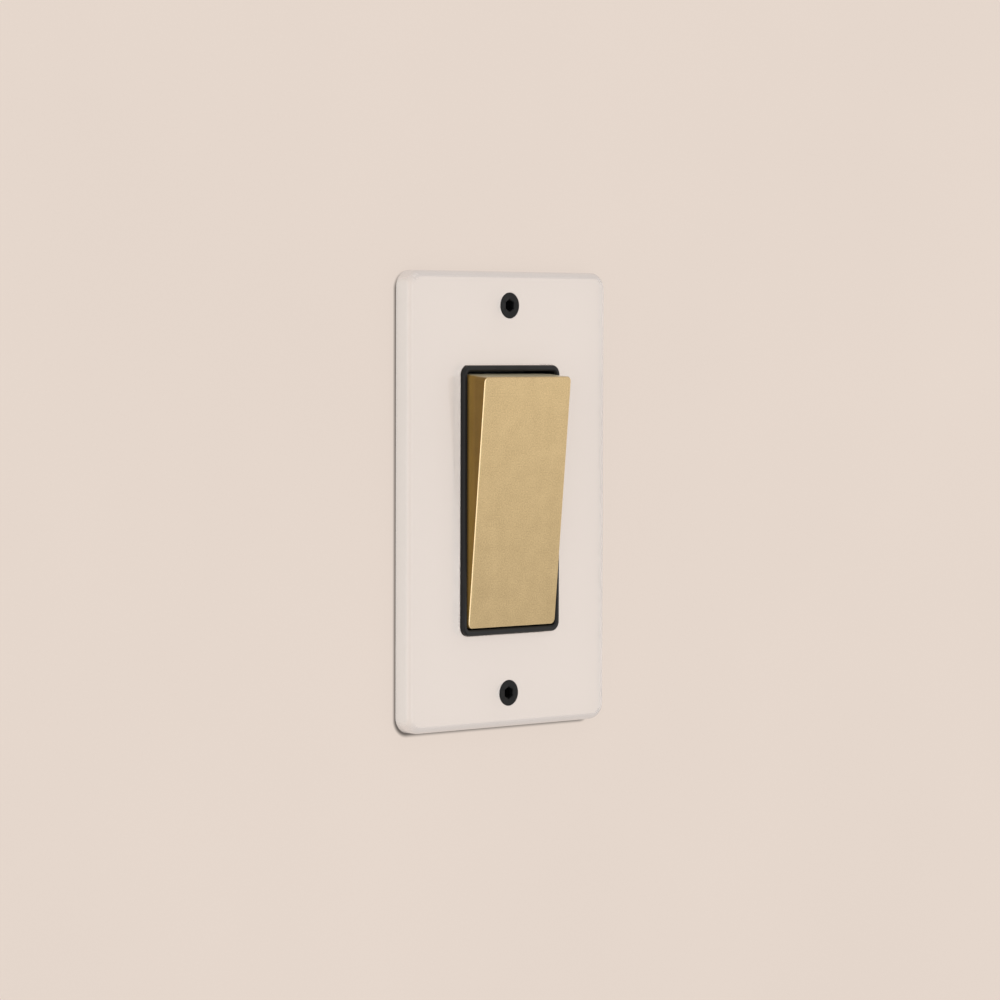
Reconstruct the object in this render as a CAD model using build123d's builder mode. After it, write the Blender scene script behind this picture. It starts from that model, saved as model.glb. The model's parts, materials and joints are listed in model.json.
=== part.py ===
from build123d import *
import os
from math import cos, radians, sin

# Retractive rocker switch on a clear wall plate, in millimetres.
# The origin is the middle of the plate's back, which lies on the wall: +Z is up,
# the switch looks towards -Y and its works reach into the wall along +Y.

# Clear face plate and its two screws
plate_w = 68.4
plate_h = 113.8
plate_t = 4.8
plate_corner = 4.2
plate_edge = 1.6
plate_screw_pitch = 96.84
plate_screw_d = 3.5
plate_screw_head_d = 6.6
plate_screw_length = 14.0
plate_screw_hex = 2.8
plate_screw_hex_depth = 1.4
plate_hole_d = 4.1

# Bezel frame
bezel_w = 33.5
bezel_h = 67.0
bezel_lip = 1.45
bezel_proud = 1.1
bezel_corner = 2.4
bezel_inner_corner = 1.0
bezel_edge = 0.4
window_gap = 0.2
flange_t = 1.8

# Rocker and its pin
rocker_side_gap = 0.35
rocker_end_gap = 0.7
rocker_rise = 2.85
rocker_tilt = 5.25
rocker_depth = 8.5
rocker_skin = 1.2
rocker_wall = 1.0
rocker_corner = 1.3
rocker_edge = 0.3
pivot_drop = 5.55
pin_d = 2.0
pin_inset = 0.25
pin_hold = 0.02
running_gap = 0.05
pin_clear = 0.3

# Carrier inside the rocker
carrier_fit = 0.1
carrier_t = 2.0
carrier_rim_t = 1.4
carrier_rim_depth = 3.6
carrier_boss_d = 4.8
carrier_rib_t = 1.2
carrier_rib_x = 8.0
nose_r = 1.5
nose_w = 4.0
nose_drop = 2.0
foot_inset = 4.35
foot_w = 6.0
touch_gap = 0.12

# Mounting strap
strap_gap = 2.2
strap_t = 1.5
strap_rail = 0.5
strap_rail_end = 1.0
strap_length = 105.6
strap_corner = 3.0
ear_w = 22.0
ear_wing_w = 40.0
ear_wing_h = 8.6
ear_wing_z = 46.0
ear_notch_w = 1.8
ear_notch_depth = 1.5
ear_notch_x = 13.2
box_screw_pitch = 83.34
box_hole_d = 4.4
thread_gap = 0.05
earth_tab_w = 9.0
earth_tab_reach = 11.0
earth_tab_inset = 11.0
tab_bend_share = 0.8

# Housing and rear cover
housing_side = 3.25
housing_end = 2.3
housing_depth = 18.5
housing_corner = 2.0
deck_t = 2.6
core_wall = 5.0
cover_t = 2.5
cover_edge = 0.5
cover_panel_inset = 4.6
cover_panel_depth = 0.4

# Long screws that hold cover, housing and bezel to the strap
joint_screw_margin = 2.0
joint_screw_d = 2.2
joint_screw_head_d = 3.8
joint_screw_head_t = 1.4
joint_screw_clear = 0.15
slot_w = 0.7
slot_depth = 0.7

# Plunger, its tower and the return spring
plunger_z = 12.0
head_d = 7.0
head_t = 1.6
guide_gap = 0.1
tower_wall = 1.4
tower_cover = 0.7
stem_d = 3.2
spigot_d = 2.2
spigot_spare = 0.5
well_depth = 6.0
web_t = 2.0
spring_mean_r = 2.75
spring_wire_r = 0.3
spring_turns = 5
seat_gap = 0.02

# Contacts and terminals
chamber_w = 25.0
chamber_h = 14.0
bridge_room = 1.7
bridge_t = 0.8
bridge_w = 4.4
bridge_end = 2.4
clip_t = 0.6
clip_d = 5.2
contact_x = 7.5
contact_d = 3.0
contact_t = 0.8
closed_gap = 0.1
terminal_t = 1.0
terminal_w = 5.0
terminal_plate_w = 8.6
terminal_plate_h = 10.4
terminal_gap = 0.1
recess_depth = 2.6
recess_w = 10.4
recess_skirt = 4.0
binding_screw_d = 3.4
binding_screw_head_d = 7.2
binding_screw_head_t = 2.2
binding_screw_length = 8.0
binding_screw_drop = 4.6
binding_screw_clear = 0.3
clamp_w = 7.6
clamp_t = 1.1

# Stop pads
pad_w = 8.0
pad_h = 3.8
pad_sunk = 0.6
pad_rise = 1.0
pad_fit = 0.05

# Heights above the wall, towards the viewer, that follow from the sizes
bezel_front = plate_t + bezel_proud
pivot_out = bezel_front + rocker_rise - pivot_drop
strap_front = -strap_gap
strap_back = strap_front - strap_t
deck = strap_back - flange_t
well_floor = deck - well_depth
chamber_front = well_floor - web_t
housing_back = deck - housing_depth
cover_back = housing_back - cover_t

# The rocker swings by the tilt to each side of upright, inside the bezel in the plate's window
tilt = radians(rocker_tilt)
travel = 2 * plunger_z * sin(tilt)
window_w = bezel_w + 2 * window_gap
window_h = bezel_h + 2 * window_gap
window_corner = bezel_corner + window_gap
opening_w = bezel_w - 2 * bezel_lip
opening_h = bezel_h - 2 * bezel_lip
rocker_w = opening_w - 2 * rocker_side_gap
rocker_h = opening_h - 2 * rocker_end_gap

# The housing, its screws and the strap's frame lie round the bezel
joint_screw_z = window_h / 2 + joint_screw_margin
joint_screw_pitch = 2 * joint_screw_z
housing_w = bezel_w + 2 * housing_side
housing_h = 2 * (joint_screw_z + housing_end)
strap_w = housing_w + 2 * strap_rail
strap_rail_h = housing_h + 2 * strap_rail_end
earth_tab_z = earth_tab_inset - housing_h / 2

# Chain of contact from the rocker's nose to the terminals
nose_tip = pivot_out - nose_drop * cos(tilt) + plunger_z * sin(tilt) - nose_r
plunger_top = nose_tip - touch_gap
head_back = plunger_top - head_t
bridge_front = chamber_front - bridge_room
bridge_back = bridge_front - bridge_t
spigot_end = bridge_back - clip_t - spigot_spare
fixed_face = bridge_back - contact_t - travel - closed_gap
terminal_front = fixed_face - contact_t
terminal_back = terminal_front - terminal_t

# The rocker's feet come down on the pads at each end of the swing
pad_top = deck + pad_rise
foot_r = nose_r
foot_z = rocker_h / 2 - foot_inset
foot_drop = (pivot_out - foot_z * sin(tilt) - foot_r - pad_top - touch_gap) / cos(tilt)

# Side terminals lie in recesses of the housing
recess_floor = housing_w / 2 - recess_depth
plate_inner = recess_floor + terminal_gap
plate_outer = plate_inner + terminal_t
terminal_top = terminal_back + terminal_plate_h
binding_out = terminal_top - binding_screw_drop
clamp_outer = plate_outer + clamp_t
clamp_h = 2 * (binding_screw_drop - terminal_gap)
recess_front = deck - recess_skirt
earth_out = strap_front - earth_tab_reach + earth_tab_w / 2
earth_face = strap_w / 2 + strap_t
earth_hole_depth = housing_w / 2 - earth_face + binding_screw_length + binding_screw_clear

# Working planes: across the wall looking at the viewer, and edge on from the side
front = Plane(origin=(0, 0, 0), x_dir=(1, 0, 0), z_dir=(0, -1, 0))
side = Plane(origin=(0, 0, 0), x_dir=(0, 0, 1), z_dir=(1, 0, 0))
face_out = (0, -cos(tilt), -sin(tilt))
face_up = (0, -sin(tilt), cos(tilt))
pivot = (0, -pivot_out, 0)
rocker = Plane(origin=pivot, x_dir=(1, 0, 0), z_dir=face_out)
rocker_edge_on = Plane(origin=pivot, x_dir=face_up, z_dir=(1, 0, 0))
outward = Axis((0, 0, 0), (0, -1, 0))

os.makedirs("parts", exist_ok=True)


def finish(block, name):
    """Name a finished piece and write it."""
    block.part.label = name
    export_step(block.part, f"parts/{name}.step")


def turned(points):
    """A piece of revolution about +Z from (radius, height) points."""
    with BuildPart() as piece:
        with BuildSketch(Plane.XZ):
            with BuildLine():
                Polyline(*points, close=True)
            make_face()
        revolve(axis=Axis.Z)
    return piece.part


def slotted_screw(shank_d, head_d, head_t, length):
    """Cheese-head screw: underside of the head at zero, shank along -Z."""
    head_r = head_d / 2
    shank_r = shank_d / 2
    blank = turned([
        (0, head_t),
        (head_r, head_t),
        (head_r, 0),
        (shank_r, 0),
        (shank_r, -length),
        (0, -length),
    ])
    with BuildPart() as screw:
        add(blank)
        with BuildSketch(Plane.XY.offset(head_t)):
            Rectangle(head_d, slot_w)
        extrude(amount=-slot_depth, mode=Mode.SUBTRACT)
    return screw.part


# Clear face plate: rounded front edge, window for the bezel, two countersunk holes
with BuildPart() as face_plate:
    with BuildSketch(front):
        RectangleRounded(plate_w, plate_h, plate_corner)
    extrude(amount=plate_t)
    fillet(face_plate.faces().sort_by(outward)[-1].edges(), plate_edge)
    with BuildSketch(front):
        RectangleRounded(window_w, window_h, window_corner)
    extrude(amount=plate_t, mode=Mode.SUBTRACT)
    with Locations(front.offset(plate_t)):
        with GridLocations(0, plate_screw_pitch, 1, 2):
            CounterSinkHole(
                radius=plate_hole_d / 2,
                counter_sink_radius=plate_screw_head_d / 2 + thread_gap,
                counter_sink_angle=90,
            )
finish(face_plate, "face_plate")

# Flush socket screws that draw the plate to the strap
plate_screw_r = plate_screw_d / 2
plate_head_r = plate_screw_head_d / 2
plate_screw_blank = turned([
    (0, 0),
    (plate_head_r, 0),
    (plate_screw_r, plate_screw_r - plate_head_r),
    (plate_screw_r, -plate_screw_length),
    (0, -plate_screw_length),
])
with BuildPart() as plate_screw:
    add(plate_screw_blank)
    with BuildSketch():
        RegularPolygon(plate_screw_hex / 2, 6, major_radius=False, rotation=30)
    extrude(amount=-plate_screw_hex_depth, mode=Mode.SUBTRACT)
with BuildPart() as plate_screws:
    with Locations(front.offset(plate_t)):
        with GridLocations(0, plate_screw_pitch, 1, 2):
            add(plate_screw.part)
finish(plate_screws, "plate_screws")

# Bezel: a well round the rocker with a flange that the strap holds from the front
with BuildPart() as bezel_frame:
    with BuildSketch(front.offset(deck)):
        RectangleRounded(bezel_w, bezel_h, bezel_corner)
    extrude(amount=bezel_front - deck)
    with BuildSketch(front.offset(deck)):
        RectangleRounded(opening_w, opening_h, bezel_inner_corner)
    extrude(amount=bezel_front - deck, mode=Mode.SUBTRACT)
    chamfer(bezel_frame.faces().sort_by(outward)[-1].edges(), bezel_edge)
    with BuildSketch(front.offset(deck)):
        RectangleRounded(housing_w, housing_h, housing_corner)
        RectangleRounded(opening_w, opening_h, bezel_inner_corner, mode=Mode.SUBTRACT)
        with GridLocations(0, joint_screw_pitch, 1, 2):
            Circle(joint_screw_d / 2 + joint_screw_clear, mode=Mode.SUBTRACT)
    extrude(amount=flange_t)
    with BuildSketch(side):
        with Locations((0, pivot_out)):
            Circle(pin_d / 2 + pin_hold)
    extrude(amount=bezel_w / 2, both=True, mode=Mode.SUBTRACT)
finish(bezel_frame, "bezel_frame")

# Pin across the bezel that the rocker swings on
with BuildPart() as pivot_pin:
    with BuildSketch(side):
        with Locations((0, pivot_out)):
            Circle(pin_d / 2)
    extrude(amount=bezel_w / 2 - pin_inset, both=True)
    chamfer(pivot_pin.edges().filter_by(GeomType.CIRCLE), pin_inset)
finish(pivot_pin, "pivot_pin")

# Brass rocker: an open-backed tray with cross holes for the pin
with BuildPart() as rocker_cap:
    with BuildSketch(rocker.offset(pivot_drop - rocker_depth)):
        RectangleRounded(rocker_w, rocker_h, rocker_corner)
    extrude(amount=rocker_depth)
    fillet(rocker_cap.faces().sort_by(Axis(pivot, face_out))[-1].edges(), rocker_edge)
    with BuildSketch(rocker.offset(pivot_drop - rocker_depth)):
        Rectangle(rocker_w - 2 * rocker_wall, rocker_h - 2 * rocker_wall)
    extrude(amount=rocker_depth - rocker_skin, mode=Mode.SUBTRACT)
    with BuildSketch(rocker_edge_on):
        Circle(pin_d / 2 + pin_clear)
    extrude(amount=rocker_w / 2, both=True, mode=Mode.SUBTRACT)
finish(rocker_cap, "rocker_cap")

# Moulded carrier bonded into the rocker: rim, ribs, pin boss, nose and two feet
carrier_w = rocker_w - 2 * (rocker_wall + carrier_fit)
carrier_h = rocker_h - 2 * (rocker_wall + carrier_fit)
carrier_top = pivot_drop - rocker_skin
carrier_under = carrier_top - carrier_t
with BuildPart() as rocker_carrier:
    with BuildSketch(rocker.offset(carrier_under)):
        Rectangle(carrier_w, carrier_h)
    extrude(amount=carrier_t)
    with BuildSketch(rocker.offset(carrier_under)):
        Rectangle(carrier_w, carrier_h)
        Rectangle(carrier_w - 2 * carrier_rim_t, carrier_h - 2 * carrier_rim_t, mode=Mode.SUBTRACT)
        with GridLocations(2 * carrier_rib_x, 0, 2, 1):
            Rectangle(carrier_rib_t, carrier_h)
    extrude(amount=-carrier_rim_depth)
    with BuildSketch(rocker_edge_on):
        Circle(carrier_boss_d / 2)
    extrude(amount=carrier_w / 2, both=True)
    with BuildSketch(rocker_edge_on):
        with Locations((plunger_z, -nose_drop)):
            Circle(nose_r)
            Rectangle(2 * nose_r, nose_drop + carrier_top, align=(Align.CENTER, Align.MIN))
    extrude(amount=nose_w / 2, both=True)
    with BuildSketch(rocker_edge_on):
        with Locations((-foot_z, -foot_drop), (foot_z, -foot_drop)):
            Circle(foot_r)
            Rectangle(2 * foot_r, foot_drop + carrier_top, align=(Align.CENTER, Align.MIN))
    extrude(amount=foot_w / 2, both=True)
    with BuildSketch(rocker_edge_on):
        Circle(pin_d / 2 + running_gap)
    extrude(amount=carrier_w / 2, both=True, mode=Mode.SUBTRACT)
finish(rocker_carrier, "rocker_carrier")

# Steel mounting strap: frame round the bezel, plaster ears, bent earth tab
with BuildPart() as mounting_strap:
    with BuildSketch(front.offset(strap_back)):
        RectangleRounded(strap_w, strap_rail_h, strap_corner)
        RectangleRounded(ear_w, strap_length, strap_corner)
        with GridLocations(0, 2 * ear_wing_z, 1, 2):
            RectangleRounded(ear_wing_w, ear_wing_h, ear_wing_h / 2 - thread_gap)
        with Locations((-earth_face / 2, earth_tab_z)):
            Rectangle(earth_face, earth_tab_w)
        RectangleRounded(window_w, window_h, window_corner, mode=Mode.SUBTRACT)
        with GridLocations(2 * ear_notch_x, 2 * ear_wing_z - ear_wing_h, 2, 2):
            Rectangle(ear_notch_w, 2 * ear_notch_depth, mode=Mode.SUBTRACT)
        with GridLocations(2 * ear_notch_x, 2 * ear_wing_z + ear_wing_h, 2, 2):
            Rectangle(ear_notch_w, 2 * ear_notch_depth, mode=Mode.SUBTRACT)
        with GridLocations(0, box_screw_pitch, 1, 2):
            Circle(box_hole_d / 2, mode=Mode.SUBTRACT)
        with GridLocations(0, plate_screw_pitch, 1, 2):
            Circle(plate_screw_d / 2 + thread_gap, mode=Mode.SUBTRACT)
        with GridLocations(0, joint_screw_pitch, 1, 2):
            Circle(joint_screw_d / 2 + thread_gap, mode=Mode.SUBTRACT)
    extrude(amount=strap_t)
    with BuildSketch(side.offset(-earth_face)):
        with Locations((earth_tab_z, strap_front - earth_tab_reach / 2)):
            Rectangle(earth_tab_w, earth_tab_reach)
        with Locations((earth_tab_z, earth_out)):
            Circle(binding_screw_d / 2 + thread_gap, mode=Mode.SUBTRACT)
    extrude(amount=strap_t)
    tab_edges = mounting_strap.edges().filter_by(Axis.Z).group_by(Axis.X)[0]
    fillet(tab_edges.sort_by(outward)[-1], strap_t * tab_bend_share)
finish(mounting_strap, "mounting_strap")

# Rear housing: deck with plunger tower and pad seats, contact chamber, side recesses
with BuildPart() as switch_housing:
    with BuildSketch(front.offset(housing_back)):
        RectangleRounded(housing_w, housing_h, housing_corner)
        with GridLocations(0, joint_screw_pitch, 1, 2):
            Circle(joint_screw_d / 2 + joint_screw_clear, mode=Mode.SUBTRACT)
    extrude(amount=housing_depth)
    # Tower that guides the plunger's head
    tower_r = head_d / 2 + guide_gap + tower_wall
    with BuildSketch(front.offset(deck)):
        with Locations((0, plunger_z)):
            Circle(tower_r)
    extrude(amount=plunger_top - tower_cover - deck)
    with BuildSketch(front.offset(well_floor)):
        with Locations((0, plunger_z)):
            Circle(head_d / 2 + guide_gap)
    extrude(amount=plunger_top - well_floor, mode=Mode.SUBTRACT)
    with BuildSketch(front.offset(well_floor)):
        with Locations((0, plunger_z)):
            Circle(stem_d / 2 + running_gap)
    extrude(amount=-web_t, mode=Mode.SUBTRACT)
    # Contact chamber behind the web, and cored pockets above and below it
    chamber_top = plunger_z + chamber_h / 2
    chamber_foot = plunger_z - chamber_h / 2
    with BuildSketch(front.offset(housing_back)):
        with Locations((0, plunger_z)):
            Rectangle(chamber_w, chamber_h)
    extrude(amount=chamber_front - housing_back, mode=Mode.SUBTRACT)
    pocket_end = joint_screw_z - joint_screw_head_d
    upper_h = pocket_end - chamber_top - deck_t
    lower_h = pocket_end + chamber_foot - deck_t
    with BuildSketch(front.offset(housing_back)):
        with Locations((0, pocket_end - upper_h / 2)):
            Rectangle(housing_w - 2 * core_wall, upper_h)
        with Locations((0, lower_h / 2 - pocket_end)):
            Rectangle(housing_w - 2 * core_wall, lower_h)
    extrude(amount=housing_depth - deck_t, mode=Mode.SUBTRACT)
    # Recesses and slots for the side terminals
    with BuildSketch(front.offset(housing_back)):
        with Locations((-housing_w / 2, plunger_z), (housing_w / 2, plunger_z)):
            Rectangle(2 * recess_depth, recess_w)
    extrude(amount=recess_front - housing_back, mode=Mode.SUBTRACT)
    with BuildSketch(front.offset(housing_back)):
        with Locations((0, plunger_z)):
            Rectangle(housing_w, terminal_w + 2 * terminal_gap)
    extrude(amount=terminal_front + terminal_gap - housing_back, mode=Mode.SUBTRACT)
    with BuildSketch(side):
        with Locations((plunger_z, binding_out)):
            Circle(binding_screw_d / 2 + binding_screw_clear)
    extrude(amount=recess_floor, both=True, mode=Mode.SUBTRACT)
    with BuildSketch(side.offset(-housing_w / 2)):
        with Locations((earth_tab_z, earth_out)):
            Circle(binding_screw_d / 2 + binding_screw_clear)
    extrude(amount=earth_hole_depth, mode=Mode.SUBTRACT)
    # Seats for the stop pads
    with BuildSketch(front.offset(deck)):
        with GridLocations(0, 2 * foot_z, 1, 2):
            Rectangle(pad_w + 2 * pad_fit, pad_h + 2 * pad_fit)
    extrude(amount=-pad_sunk, mode=Mode.SUBTRACT)
finish(switch_housing, "switch_housing")

# Rear cover with posts that hold the terminals from behind
with BuildPart() as rear_cover:
    with BuildSketch(front.offset(cover_back)):
        RectangleRounded(housing_w, housing_h, housing_corner)
        with Locations((-housing_w / 2, plunger_z), (housing_w / 2, plunger_z)):
            Rectangle(2 * recess_depth, recess_w, mode=Mode.SUBTRACT)
    extrude(amount=cover_t)
    chamfer(rear_cover.faces().sort_by(outward)[0].edges(), cover_edge)
    panel_w = housing_w - 2 * cover_panel_inset
    panel_h = 2 * (joint_screw_z - joint_screw_head_d)
    with BuildSketch(front.offset(cover_back)):
        RectangleRounded(panel_w, panel_h, housing_corner)
    extrude(amount=cover_panel_depth, mode=Mode.SUBTRACT)
    post_inner = contact_x - contact_d / 2
    post_w = recess_floor - post_inner
    with BuildSketch(front.offset(housing_back)):
        with GridLocations(2 * post_inner + post_w, 0, 2, 1):
            with Locations((0, plunger_z)):
                Rectangle(post_w, terminal_w)
    extrude(amount=terminal_back - housing_back)
    with Locations(Plane(origin=(0, -cover_back, 0), x_dir=(-1, 0, 0), z_dir=(0, 1, 0))):
        with GridLocations(0, joint_screw_pitch, 1, 2):
            CounterBoreHole(
                radius=joint_screw_d / 2 + joint_screw_clear,
                counter_bore_radius=joint_screw_head_d / 2 + joint_screw_clear,
                counter_bore_depth=joint_screw_head_t,
                depth=cover_t,
            )
finish(rear_cover, "rear_cover")

# Two long screws from the rear cover into the strap
joint_head_seat = cover_back + joint_screw_head_t
joint_screw = slotted_screw(
    joint_screw_d, joint_screw_head_d, joint_screw_head_t, strap_front - joint_head_seat
)
with BuildPart() as assembly_screws:
    with Locations(Plane(origin=(0, -joint_head_seat, 0), x_dir=(-1, 0, 0), z_dir=(0, 1, 0))):
        with GridLocations(0, joint_screw_pitch, 1, 2):
            add(joint_screw)
finish(assembly_screws, "assembly_screws")

# Rubber pads under the rocker's feet
with BuildPart() as stop_pads:
    with BuildSketch(front.offset(deck - pad_sunk)):
        with GridLocations(0, 2 * foot_z, 1, 2):
            Rectangle(pad_w, pad_h)
    extrude(amount=pad_sunk + pad_rise)
finish(stop_pads, "stop_pads")

# Plunger: head, stem and spigot on one axis
plunger_profile = [
    (0, plunger_top),
    (head_d / 2, plunger_top),
    (head_d / 2, head_back),
    (stem_d / 2, head_back),
    (stem_d / 2, bridge_front),
    (spigot_d / 2, bridge_front),
    (spigot_d / 2, spigot_end),
    (0, spigot_end),
]
plunger_blank = turned(plunger_profile)
with BuildPart() as contact_plunger:
    with Locations(Plane(origin=(0, 0, plunger_z), x_dir=(1, 0, 0), z_dir=(0, -1, 0))):
        add(plunger_blank)
finish(contact_plunger, "contact_plunger")

# Return spring round the stem, between the head and the floor of its well
spring_foot = well_floor + spring_wire_r + seat_gap
spring_height = head_back - seat_gap - spring_wire_r - spring_foot
with BuildPart() as return_spring:
    with BuildLine():
        coil = Helix(
            pitch=spring_height / spring_turns,
            height=spring_height,
            radius=spring_mean_r,
            center=(0, -spring_foot, plunger_z),
            direction=(0, -1, 0),
        )
    with BuildSketch(Plane(origin=coil @ 0, z_dir=coil % 0)):
        RegularPolygon(spring_wire_r, 6)
    sweep(is_frenet=True)
finish(return_spring, "return_spring")

# Moving contact bridge, its silver tips and the clip that holds it on the spigot
with BuildPart() as contact_bridge:
    with BuildSketch(front.offset(bridge_back)):
        with Locations((0, plunger_z)):
            SlotOverall(2 * (contact_x + bridge_end), bridge_w)
            Circle(spigot_d / 2 + seat_gap, mode=Mode.SUBTRACT)
    extrude(amount=bridge_t)
finish(contact_bridge, "contact_bridge")

with BuildPart() as moving_contacts:
    with BuildSketch(front.offset(bridge_back)):
        with Locations((-contact_x, plunger_z), (contact_x, plunger_z)):
            Circle(contact_d / 2)
    extrude(amount=-contact_t)
finish(moving_contacts, "moving_contacts")

with BuildPart() as fixed_contacts:
    with BuildSketch(front.offset(terminal_front)):
        with Locations((-contact_x, plunger_z), (contact_x, plunger_z)):
            Circle(contact_d / 2)
    extrude(amount=contact_t)
finish(fixed_contacts, "fixed_contacts")

with BuildPart() as bridge_clip:
    with BuildSketch(front.offset(bridge_back - clip_t)):
        with Locations((0, plunger_z)):
            Circle(clip_d / 2)
            Circle(spigot_d / 2 + seat_gap, mode=Mode.SUBTRACT)
    extrude(amount=clip_t)
finish(bridge_clip, "bridge_clip")


def terminal(towards):
    """Bent brass strip from a fixed contact to a side terminal: towards is -1 left, +1 right."""
    strip_start = contact_x - contact_d / 2
    strip_length = plate_outer - strip_start
    with BuildPart() as strip:
        with BuildSketch(front.offset(terminal_back)):
            with Locations((towards * (strip_start + strip_length / 2), plunger_z)):
                Rectangle(strip_length, terminal_w)
        extrude(amount=terminal_t)
        with BuildSketch(side.offset(towards * plate_inner)):
            with Locations((plunger_z, terminal_back)):
                Rectangle(terminal_plate_w, terminal_plate_h, align=(Align.CENTER, Align.MIN))
            with Locations((plunger_z, binding_out)):
                Circle(binding_screw_d / 2 + thread_gap, mode=Mode.SUBTRACT)
        extrude(amount=towards * terminal_t)
    return strip


supply_terminal = terminal(-1)
finish(supply_terminal, "supply_terminal")
switched_terminal = terminal(1)
finish(switched_terminal, "switched_terminal")

# Clamp plates and binding screws of the two side terminals
right_seat = Plane(origin=(clamp_outer, -binding_out, plunger_z), x_dir=(0, 0, 1), z_dir=(1, 0, 0))
left_seat = Plane(origin=(-clamp_outer, -binding_out, plunger_z), x_dir=(0, 0, 1), z_dir=(-1, 0, 0))
with BuildPart() as wire_clamps:
    with BuildSketch(right_seat, left_seat):
        RectangleRounded(clamp_w, clamp_h, clamp_t)
        Circle(binding_screw_d / 2 + thread_gap, mode=Mode.SUBTRACT)
    extrude(amount=-clamp_t)
finish(wire_clamps, "wire_clamps")

binding_screw = slotted_screw(
    binding_screw_d, binding_screw_head_d, binding_screw_head_t, binding_screw_length
)
with BuildPart() as terminal_screws:
    with Locations(right_seat, left_seat):
        add(binding_screw)
finish(terminal_screws, "terminal_screws")

# Earth screw in the strap's bent tab
with BuildPart() as earth_screw:
    with Locations(
        Plane(origin=(-earth_face, -earth_out, earth_tab_z), x_dir=(0, 0, 1), z_dir=(-1, 0, 0))
    ):
        add(binding_screw)
finish(earth_screw, "earth_screw")
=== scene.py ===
import json
from math import cos, hypot, pi, radians, sin, tau

import bmesh
import bpy
from bpy.props import FloatProperty, FloatVectorProperty, IntProperty, PointerProperty
from mathutils import Matrix, Vector

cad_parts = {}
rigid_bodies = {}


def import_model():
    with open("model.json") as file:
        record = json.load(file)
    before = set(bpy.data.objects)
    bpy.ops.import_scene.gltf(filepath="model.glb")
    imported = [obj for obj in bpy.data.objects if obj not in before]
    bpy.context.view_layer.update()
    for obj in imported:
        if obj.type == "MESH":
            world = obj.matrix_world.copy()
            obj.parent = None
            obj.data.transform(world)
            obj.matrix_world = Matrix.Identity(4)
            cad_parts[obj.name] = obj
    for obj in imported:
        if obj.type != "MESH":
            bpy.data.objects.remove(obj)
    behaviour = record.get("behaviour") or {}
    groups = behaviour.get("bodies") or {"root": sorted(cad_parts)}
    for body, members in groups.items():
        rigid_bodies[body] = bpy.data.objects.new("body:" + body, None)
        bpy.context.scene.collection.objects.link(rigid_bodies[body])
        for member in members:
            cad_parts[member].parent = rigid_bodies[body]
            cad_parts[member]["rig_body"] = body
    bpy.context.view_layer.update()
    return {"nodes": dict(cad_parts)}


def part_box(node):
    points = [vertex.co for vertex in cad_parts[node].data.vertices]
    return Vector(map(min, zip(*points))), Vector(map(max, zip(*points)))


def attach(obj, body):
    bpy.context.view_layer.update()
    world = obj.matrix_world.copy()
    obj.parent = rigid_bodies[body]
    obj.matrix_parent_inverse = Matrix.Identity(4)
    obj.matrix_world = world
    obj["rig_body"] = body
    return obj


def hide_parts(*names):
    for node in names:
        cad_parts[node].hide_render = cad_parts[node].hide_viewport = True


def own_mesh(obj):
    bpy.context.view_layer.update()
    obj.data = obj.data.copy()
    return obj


bl_info = {
    "name": "Retractive rocker switch",
    "version": (1, 0, 0),
    "blender": (4, 5, 0),
    "location": "View3D > Sidebar > Switch",
    "description": "Finishes the rocker switch: clear plate, brass rocker, bezel and the works behind the wall",
    "category": "Object",
}

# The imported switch: origin in the middle of the plate's back, +Z up, the rocker looks along -Y
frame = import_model()
solids = frame["nodes"]

# The rocker at rest: its lean, and the distance of its front from the pin's plane
ROCKER_TILT = radians(5.25)
ROCKER_FACE = 0.0087366

# Meshes: points closer than this are one, faces within this angle are one, sharper edges stay sharp
MERGE = 1e-7
FLAT = radians(0.6)
SHARP = radians(32)

# Finishes made so far, by name. Solids bring plain materials of the same names with them
finishes = {}


def finish_colour(label, text, value):
    """A colour that the maker may change."""
    return FloatVectorProperty(
        name=label, description=text, default=value, size=3, min=0.0, max=1.0, subtype="COLOR",
    )


def length(label, text, value):
    """A size in metres that the maker may change."""
    return FloatProperty(name=label, description=text, default=value, min=0.0, unit="LENGTH", precision=5)


def share(label, text, value):
    """A share between nothing and one."""
    return FloatProperty(name=label, description=text, default=value, min=0.0, max=1.0, subtype="FACTOR")


def brightness(label, text, value):
    """The surface brightness of a lamp."""
    return FloatProperty(name=label, description=text, default=value, min=0.0)


def angle(label, text, degrees):
    """An angle of the view."""
    return FloatProperty(name=label, description=text, default=radians(degrees), subtype="ANGLE")


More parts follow.
